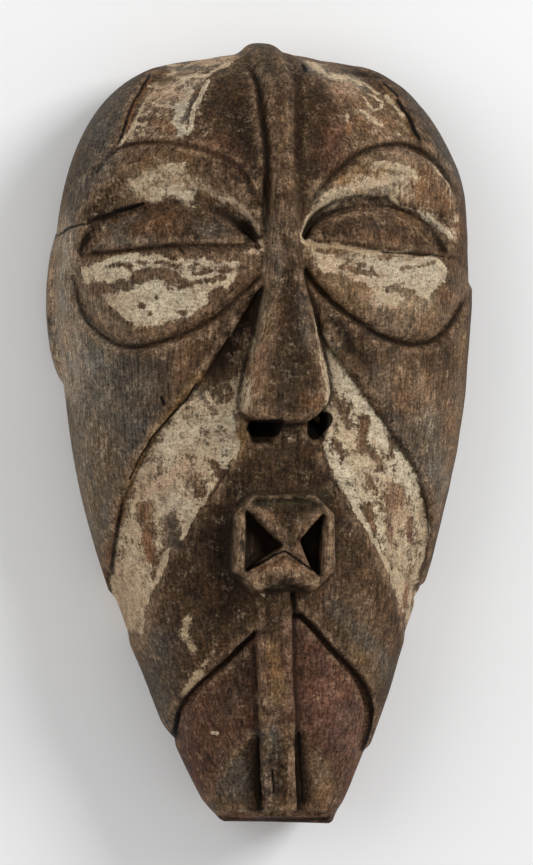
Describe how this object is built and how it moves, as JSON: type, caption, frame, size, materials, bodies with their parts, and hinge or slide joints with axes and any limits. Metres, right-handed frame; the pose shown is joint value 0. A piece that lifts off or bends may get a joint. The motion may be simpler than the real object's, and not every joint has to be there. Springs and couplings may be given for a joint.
{
  "type": "miniature mask",
  "caption": "Small carved wooden face mask with a crested long nose, slit eyes and a square mouth tube, hollow behind, lying on its back rim.",
  "frame": {"origin": "centre of the bounding box on the plane of the flat back rim", "axes": "+Y to the top of the head, +Z out of the face, +X to the viewer's right"},
  "size_m": [0.098, 0.18, 0.0622],
  "materials": {
    "carved_wood": "dry dark brown patina with flaking white and worn red pigment"
  },
  "bodies": {
    "root": {"mask": "carved_wood"}
  },
  "joints": []
}
